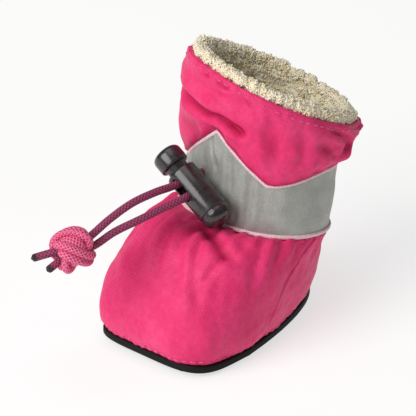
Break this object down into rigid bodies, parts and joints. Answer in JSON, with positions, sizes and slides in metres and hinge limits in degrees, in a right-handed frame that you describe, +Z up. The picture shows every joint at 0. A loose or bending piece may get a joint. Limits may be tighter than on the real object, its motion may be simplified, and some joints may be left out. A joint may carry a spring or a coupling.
{
  "type": "dog shoe",
  "caption": "Small dog's soft paw boot: fleece-lined hollow upper with a puffed cuff, grey ankle band, thin studded rubber sole, and a knotted drawcord with a push-button cord lock.",
  "frame": {"origin": "on the floor under the middle of the sole, on the flat foot of the central stud", "axes": "+X towards the toe, +Y the shoe's left side, +Z up"},
  "size_m": [0.0656, 0.0314, 0.0497],
  "materials": {
    "pink_fabric": "woven polyester, slight sheen",
    "fleece": "short pile",
    "black_rubber": "matt, dotted",
    "reflective_tape": "satin grey reflective tape",
    "pink_cord": "round braid",
    "black_plastic": "moulded, semi-gloss"
  },
  "bodies": {
    "shoe": {"outsole": "black_rubber", "insole": "fleece", "upper": "pink_fabric", "collar_fleece": "fleece", "ankle_band": "reflective_tape", "toggle_barrel": "black_plastic", "drawcord_upper": "pink_cord", "drawcord_lower": "pink_cord", "cord_knot": "pink_cord"},
    "plunger": {"toggle_plunger": "black_plastic"}
  },
  "joints": [
    {"name": "plunger_press", "type": "slide", "parent": "shoe", "child": "plunger", "axis": [0, 0.848, -0.5299], "range_m": [0, 0.0011], "stiffness_N_per_m": 300, "springref_m": -0.004}
  ]
}
